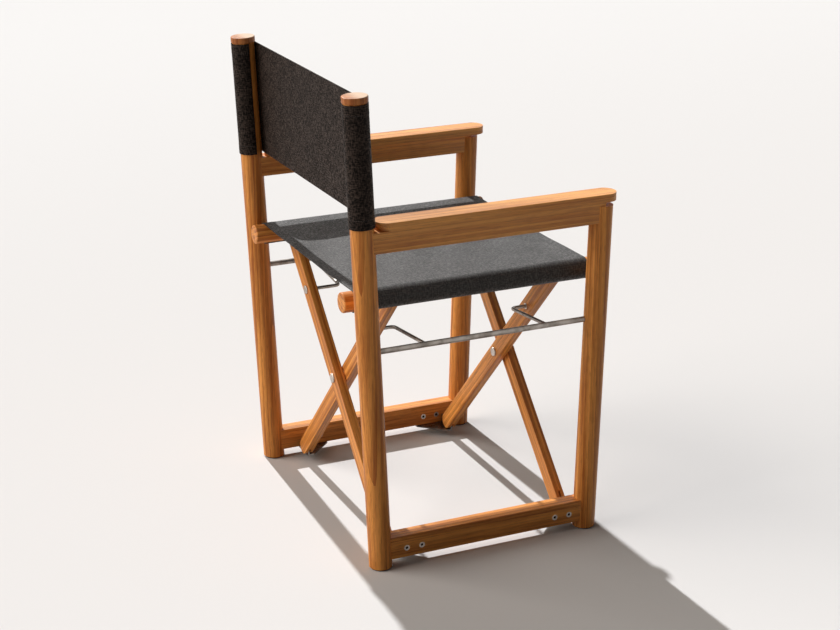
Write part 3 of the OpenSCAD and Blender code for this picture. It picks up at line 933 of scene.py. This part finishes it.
@dataclass
class HeldCloth:
    """A sheet cut flat and held between two round bars, each of which it wraps.

    Across the sheet, distances are measured from its middle; lengthways they run along the bars.

    Attributes:
        frame: Origin in the middle between the bar axes, X across, Y along the bars and Z to the
            panel's side.
        bar_x: Distance from the middle to a bar's axis.
        radius: Inner radius of the cloth round a bar.
        wrap: Angle that it goes round a bar.
        length: Its length along the bars.
        sag: How far its middle hangs below a straight line.
        ripple: Height of the slight pulls between the bars.
        thick: Thickness of one layer.
        hem: Width of the doubled hems at both ends.
        hem_rise: How much thicker a hem is.
        step: Distance between two vertices across.
        notches: The cuts for the legs.
        stitch: The stitches of its hems.
        finish: The cloth that it is cut from.
    """

    frame: Matrix
    bar_x: float
    radius: float
    wrap: float
    length: float
    sag: float = 0.0
    ripple: float = 0.0
    thick: float = 1.4 * MM
    hem: float = 18.0 * MM
    hem_rise: float = 0.2 * MM
    step: float = 1.6 * MM
    notches: tuple[Notch, ...] = ()
    stitch: Stitch = field(default_factory=Stitch)
    finish: Finish = field(default_factory=CharcoalCloth)

    HEM_GROUP: ClassVar[str] = "hem"
    ROWS: ClassVar[int] = 36
    LEAST_COLUMNS: ClassVar[int] = 8
    SNAP: ClassVar[float] = 1e-6
    SMOOTH: ClassVar[float] = math.radians(40.0)
    PULLS: ClassVar[tuple[Pull, ...]] = (Pull(1.0, 61.0, 5.0), Pull(0.6, 27.0, -9.0))

    # A grid or a ball made with this size is one metre wide, and a matrix then gives it its own.
    HALF_METRE: ClassVar[float] = 0.5

    @property
    def half(self) -> float:
        """Half the width of the cut sheet, on its inner face."""
        return self.bar_x + self.wrap * self.radius

    @property
    def edge(self) -> float:
        """Distance from the sheet's middle, along the bars, to where its hems start."""
        return self.length / 2 - self.hem

    def section(self, across: float) -> tuple[Vector, Vector]:
        """Finds a place across the held sheet.

        Args:
            across: Distance from the middle on the flat sheet.

        Returns:
            The place and the direction away from the bars, in the sheet's own frame.
        """
        side = math.copysign(1.0, across)
        beyond = abs(across) - self.bar_x
        if beyond <= 0.0:
            share = across / self.bar_x
            low = self.sag * (1.0 - share * share)
            return Vector((across, 0.0, self.radius - low)), UP
        angle = beyond / self.radius
        out = Vector((side * math.sin(angle), 0.0, math.cos(angle)))
        return Vector((side * self.bar_x, 0.0, 0.0)) + self.radius * out, out

    def pull(self, across: float, along: float) -> float:
        """Finds the height of the pulls that tension leaves in the panel.

        Args:
            across: Distance from the middle on the flat sheet.
            along: Distance along the bars.

        Returns:
            The height there, which fades to none at the bars.
        """
        share = across / self.bar_x
        if abs(share) >= 1.0:
            return 0.0
        fade = (1.0 - share * share) ** 2
        wave = sum(
            pull.share * math.sin(pull.along * along + pull.slant * share) for pull in self.PULLS
        )
        return self.ripple * fade * wave

    def place(self, across: float, along: float, lift: float = 0.0) -> tuple[Vector, Vector]:
        """Finds a place on or above the held sheet.

        Args:
            across: Distance from the middle on the flat sheet.
            along: Distance along the bars.
            lift: Height above the sheet's inner face.

        Returns:
            The place and the direction away from the bars, in the sheet's own frame.
        """
        spot, out = self.section(across)
        return Vector((spot.x, along, spot.z)) + (lift + self.pull(across, along)) * out, out

    def cut_at(self, shape: bmesh.types.BMesh, way: Vector, distance: float) -> None:
        """Cuts the flat sheet's mesh straight through, at a distance from its middle."""
        everything = shape.verts[:] + shape.edges[:] + shape.faces[:]
        bmesh.ops.bisect_plane(
            shape, geom=everything, dist=self.SNAP, plane_co=distance * way, plane_no=way
        )

    def in_notch(self, place: Vector) -> bool:
        """Tells whether a place on the flat sheet lies in one of the cuts for the legs."""
        return any(notch.holds(place) for notch in self.notches)

    def flat(self, low: float, high: float) -> bmesh.types.BMesh:
        """Cuts the sheet flat.

        Args:
            low: Where it starts across.
            high: Where it ends across.

        Returns:
            The flat mesh, with hem lines, notches, flat coordinates and hem weights.
        """
        shape = bmesh.new()
        middle = Matrix.Translation(((low + high) / 2, 0.0, 0.0))
        size = middle @ Matrix.Diagonal((high - low, self.length, 1.0, 1.0))
        columns = max(self.LEAST_COLUMNS, round((high - low) / self.step))
        bmesh.ops.create_grid(
            shape, x_segments=columns, y_segments=self.ROWS, size=self.HALF_METRE, matrix=size
        )
        for along in (self.edge, self.edge - self.thick, -self.edge, self.thick - self.edge):
            self.cut_at(shape, ALONG, along)
        for notch in self.notches:
            self.cut_at(shape, ACROSS, notch.side * notch.start)
            self.cut_at(shape, ALONG, notch.middle - notch.reach)
            self.cut_at(shape, ALONG, notch.middle + notch.reach)
        cut = [face for face in shape.faces if self.in_notch(face.calc_center_median())]
        if cut:
            bmesh.ops.delete(shape, geom=cut, context="FACES")
        shape.normal_update()
        flat_map = shape.loops.layers.uv.new(FLAT_MAP)
        weights = shape.verts.layers.deform.verify()
        for face in shape.faces:
            for corner in face.loops:
                corner[flat_map].uv = corner.vert.co.xy
        for vert in shape.verts:
            vert[weights][0] = 1.0 if abs(vert.co.y) > self.edge - self.thick / 2 else 0.0
        return shape

    def piece(self, name: str, low: float, high: float) -> bpy.types.Object:
        """Makes one sheet of the held cloth.

        Args:
            name: The piece's name.
            low: Where it starts across the flat sheet.
            high: Where it ends.

        Returns:
            The finished piece, with its thickness and hems.
        """
        shape = self.flat(low, high)
        for vert in shape.verts:
            vert.co = self.frame @ self.place(vert.co.x, vert.co.y)[0]
        shape.normal_update()
        made = placed(shape, name)
        made.vertex_groups.new(name=self.HEM_GROUP)
        wall = made.modifiers.new("thickness", "SOLIDIFY")
        wall.thickness = self.thick + self.hem_rise
        wall.offset = 1.0
        wall.vertex_group = self.HEM_GROUP
        wall.thickness_vertex_group = self.thick / (self.thick + self.hem_rise)
        return finished(made, self.SMOOTH, self.finish.material())

    def rows(self, low: float, high: float) -> Iterator[Span]:
        """Places the stitches of one sheet.

        Args:
            low: Where the sheet starts across.
            high: Where it ends.

        Yields:
            The middle of each stitch, across and along, in the two hem seams.
        """
        seam = self.edge + self.thick
        count = int((high - low) / self.stitch.pitch)
        for along in (seam, -seam):
            for index in range(count):
                yield low + (index + 0.5) * self.stitch.pitch, along

    def stitching(self, name: str, low: float, high: float) -> bpy.types.Object:
        """Makes the stitches of both hems of one sheet.

        Args:
            name: The piece's name.
            low: Where the sheet starts across.
            high: Where it ends.

        Returns:
            The finished piece.
        """
        shape = bmesh.new()
        size = Matrix.Diagonal((self.stitch.length, self.stitch.width, self.stitch.height, 1.0))
        lift = self.thick + self.hem_rise
        for across, along in self.rows(low, high):
            if self.in_notch(Vector((across, along, 0.0))):
                continue
            spot, out = self.place(across, along, lift)
            turn = axes(Vector((out.z, 0.0, -out.x)), ALONG, out)
            where = self.frame @ Matrix.Translation(spot) @ turn @ size
            bmesh.ops.create_icosphere(shape, subdivisions=1, radius=self.HALF_METRE, matrix=where)
        return finished(placed(shape, name), math.pi, Thread().material())

    def cut_size(self, low: float, high: float) -> Span:
        """Returns the flat width and length of a sheet, measured in the middle of its thickness."""
        wrapped = max(0.0, high - self.bar_x) + max(0.0, -self.bar_x - low)
        return (high - low + wrapped * self.thick / 2 / self.radius, self.length)


@dataclass
class SeatCloth:
    """The seat: one sheet that wraps both seat rails, between the two pairs of legs.

    Attributes:
        gap: Room between the cloth and a rail.
        wrap: Angle that it goes round a rail.
        leg_room: Half the width of the cuts for the legs.
        notch_from: Angle round a rail at which they start.
        blend_x: Not used.
    """

    gap: float = 0.3 * MM
    wrap: float = math.radians(202.0)
    sag: float = 2.0 * MM
    ripple: float = 1.1 * MM
    leg_room: float = 10.0 * MM
    notch_from: float = math.radians(163.7)
    blend_x: float = 0.19

    def sheet(self) -> HeldCloth:
        """Measures the frame for the sheet.

        Returns:
            The held cloth.
        """
        low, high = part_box("left_seat_rail")
        radius = (high.z - low.z) / 2
        middle = (high + low) / 2
        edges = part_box("seat_fabric")
        centre = (edges[0].y + edges[1].y) / 2
        start = middle.x + self.notch_from * (radius + self.gap)
        notches = []
        for side, pair in ((1, "outer"), (-1, "inner")):
            for end in ("rear", "front"):
                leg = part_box(f"{end}_{pair}_leg")
                leg_y = (leg[0].y + leg[1].y) / 2 - centre
                notches.append(Notch(side, start, leg_y, self.leg_room))
        return HeldCloth(
            frame=Matrix.Translation((0.0, centre, middle.z)),
            bar_x=middle.x,
            radius=radius + self.gap,
            wrap=self.wrap,
            length=edges[1].y - edges[0].y,
            sag=self.sag,
            ripple=self.ripple,
            notches=tuple(notches),
        )

    def make(self) -> None:
        """Makes the seat cloth and its stitching."""
        held = self.sheet()
        cloth = held.piece("seat_cloth", -held.half, held.half)
        seams = held.stitching("seat_stitching", -held.half, held.half)
        for made in (cloth, seams):
            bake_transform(made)
        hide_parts("seat_fabric")
        held.cut_size(-held.half, held.half)
        LOG.info("seat_cloth: flat %.3f by %.3f m", *held.cut_size(-held.half, held.half))


@dataclass
class BackSling:
    """The back: a sleeve round each back post and the panel between them.

    Attributes:
        lean: How far the back posts lean back.
        foot_y: Where their axes meet the floor.
        post_x: Distance from the chair's middle to their axes.
        gap: Room between the cloth and a post.
        wrap: Angle that it goes round a post.
        top: Distance from the floor to its upper edge, up the posts.
        height: Its length down the posts.
        keep: Not used (the panel's share of its width with the chair folded).
    """

    lean: float = math.radians(2.5)
    foot_y: float = 0.19256
    post_x: float = 0.2635
    post_radius: float = 0.02
    gap: float = 0.3 * MM
    wrap: float = math.radians(280.0)
    top: float = 0.818
    height: float = 0.205
    keep: float = 0.318

    def sheet(self) -> HeldCloth:
        """Measures the sheet, in the lean of the back posts.

        Returns:
            The held cloth.
        """
        up = Vector((0.0, math.sin(self.lean), math.cos(self.lean)))
        front = Vector((0.0, -math.cos(self.lean), math.sin(self.lean)))
        middle = Vector((0.0, self.foot_y, 0.0)) + (self.top - self.height / 2) * up
        return HeldCloth(
            frame=Matrix.Translation(middle) @ axes(ACROSS, up, front),
            bar_x=self.post_x,
            radius=self.post_radius + self.gap,
            wrap=self.wrap,
            length=self.height,
            finish=SlingCloth(),
        )

    def make(self) -> None:
        """Makes the two sleeves and the panel, each with its stitching."""
        held = self.sheet()
        spans = {
            "right_sling_sleeve": (-held.half, -held.bar_x, "right_side_frame"),
            "left_sling_sleeve": (held.bar_x, held.half, "left_side_frame"),
            "sling_panel": (-held.bar_x, held.bar_x, "right_side_frame"),
        }
        for name, (low, high, body) in spans.items():
            cloth = held.piece(name, low, high)
            seams = held.stitching(f"{name}_stitching", low, high)
            for made in (cloth, seams):
                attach(made, body)
                if name == "sling_panel":
                    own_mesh(made)
            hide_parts("back_sling")
            held.cut_size(low, high)
            LOG.info("%s: flat %.3f by %.3f m", name, *held.cut_size(low, high))


@dataclass
class ChairFrame:
    """The wooden, steel and plastic pieces, which keep their shape and get their finish here."""

    nodes: dict[str, bpy.types.Object]

    UPRIGHT: ClassVar[tuple[str, ...]] = ("back_post", "front_post")
    ARMS: ClassVar[tuple[str, ...]] = ("arm_board", "arm_rail", "arm_dowels")
    RAILS: ClassVar[tuple[str, ...]] = ("bottom_rail", "seat_rail")
    LINKS: ClassVar[tuple[str, ...]] = ("link_bar", "link_arms")
    HEADS: ClassVar[tuple[str, ...]] = (
        "outer_foot_pins", "inner_foot_pins", "outer_link_bushes", "inner_link_bushes",
        "pivot_bolts", "pivot_nuts", "pivot_washers",
    )
    SIDE_BLACK: ClassVar[tuple[str, ...]] = ("foot_glides", "seat_cord", "sling_cord")

    def give(self, names: Iterable[str], finish: Finish) -> None:
        """Gives CAD nodes a finish.

        Args:
            names: The nodes' names.
            finish: Their finish.
        """
        material = finish.material()
        for name in names:
            node = self.nodes[name]
            for slot in node.material_slots:
                slot.material = material
            if not node.material_slots:
                node.data.materials.append(material)
            LOG.info("%s: %s", name, material.name)

    @staticmethod
    def both(names: Iterable[str]) -> list[str]:
        """Returns the names of both sides' pieces."""
        return [f"{side}_{name}" for side in SIDES for name in names]

    def make(self) -> None:
        """Gives every piece of the frame its finish."""
        self.give(self.both(self.UPRIGHT), OiledTeak("teak_upright", grain=Grain.UPRIGHT))
        self.give(self.both(self.RAILS), OiledTeak("teak_rails", grain=Grain.FORE_AFT))
        # The arms' teak is painted paler to stand in for the light on their tops.
        self.give(self.both(self.ARMS), PaintedLitTeak("teak_arms", grain=Grain.FORE_AFT))
        for pair, grain in (("outer", Grain.OUTER_LEG), ("inner", Grain.INNER_LEG)):
            legs = [f"{end}_{pair}_leg" for end in ("rear", "front")]
            self.give(legs, OiledTeak(f"teak_{pair}_legs", grain=grain))
        self.give(self.both(("post_cap",)), TurnedCap())
        self.give(self.both(self.LINKS), LinkSteel())
        self.give(self.HEADS, BrushedSteel())
        self.give(self.both(("leg_brackets",)), BracketSteel())
        low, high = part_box("left_bottom_rail")
        # The bracket bolts get painted shade in their sockets.
        bolts = BrushedSteel("bolt_steel", recess_from=(low.x + high.x) / 2)
        self.give(self.both(("bracket_bolts",)), bolts)
        self.give(self.both(self.SIDE_BLACK), MouldedBlack())


def main() -> None:
    """Loads the frame, sets the studio and dresses the chair."""
    logging.basicConfig(level=logging.INFO, format="%(message)s")
    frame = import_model()
    PhotoCamera().make()
    Studio().make()
    ChairFrame(frame["nodes"]).make()
    SeatCloth().make()
    BackSling().make()


if __name__ == "__main__":
    main()
